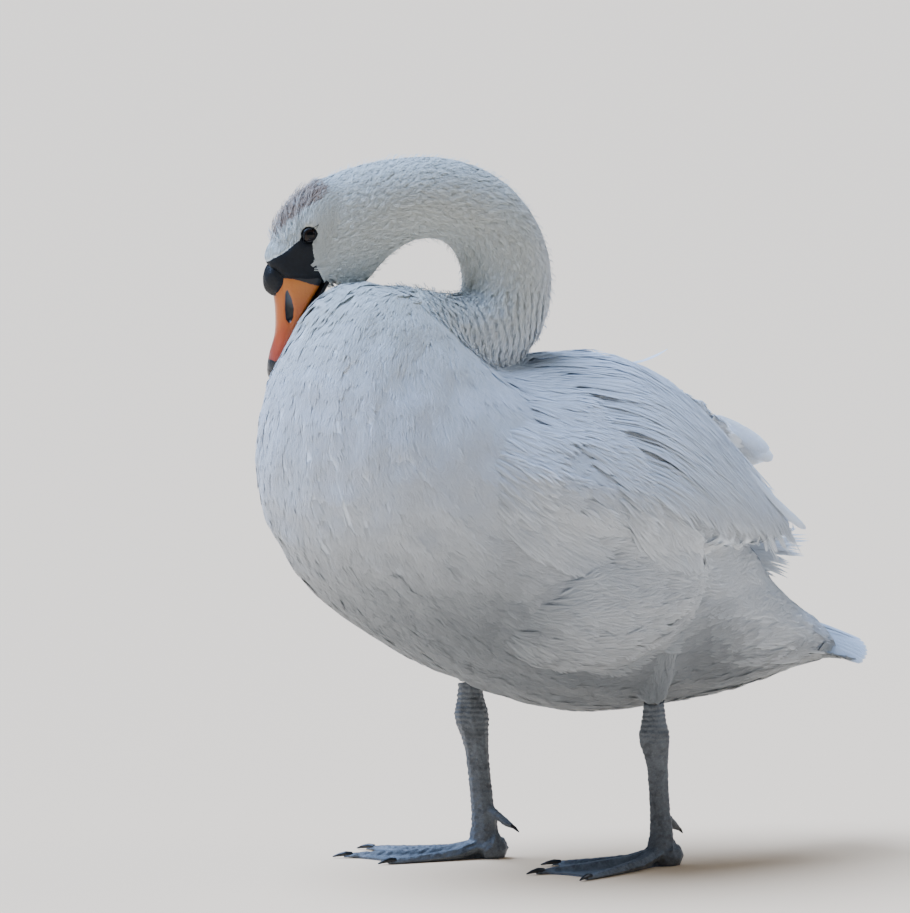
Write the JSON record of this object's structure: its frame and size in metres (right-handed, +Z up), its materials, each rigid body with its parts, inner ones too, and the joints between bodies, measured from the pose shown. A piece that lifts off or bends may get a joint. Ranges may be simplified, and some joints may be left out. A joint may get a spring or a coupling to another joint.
{
  "type": "mute swan",
  "caption": "Standing mute swan, life size, neck looped back over the shoulders, bill held down to the breast, wings folded, on webbed feet.",
  "frame": {"origin": "on the floor, under the middle of the whole bird's length and width", "axes": "+X towards the bird's front, +Y towards its left side, +Z up"},
  "size_m": [0.6919, 0.3754, 0.7141],
  "materials": {
    "white_plumage": "soft matt feathers",
    "cream_plumage": "short plush feathers",
    "black_skin": "bare, finely wrinkled skin",
    "bill_orange": "smooth horn with a soft shine",
    "black_horn": "hard dark horn",
    "eye": "wet and glossy",
    "leg_skin": "scaled grey skin"
  },
  "bodies": {
    "root": {"breast": "white_plumage", "trunk": "white_plumage", "neck_lower": "cream_plumage", "neck_middle": "cream_plumage", "neck_upper": "cream_plumage", "head": "cream_plumage", "knob": "black_skin", "bill_upper": "bill_orange", "bill_nail": "black_horn", "bill_lower": "black_horn", "eye_left": "eye", "eye_right": "eye", "wing_left": "white_plumage", "wing_right": "white_plumage", "tail": "white_plumage", "flank_left": "white_plumage", "shin_left": "white_plumage", "shank_left": "leg_skin", "foot_left": "leg_skin", "claw_inner_left": "black_horn", "claw_middle_left": "black_horn", "claw_outer_left": "black_horn", "hind_toe_left": "leg_skin", "claw_hind_left": "black_horn", "flank_right": "white_plumage", "shin_right": "white_plumage", "shank_right": "leg_skin", "foot_right": "leg_skin", "claw_inner_right": "black_horn", "claw_middle_right": "black_horn", "claw_outer_right": "black_horn", "hind_toe_right": "leg_skin", "claw_hind_right": "black_horn"}
  },
  "joints": []
}
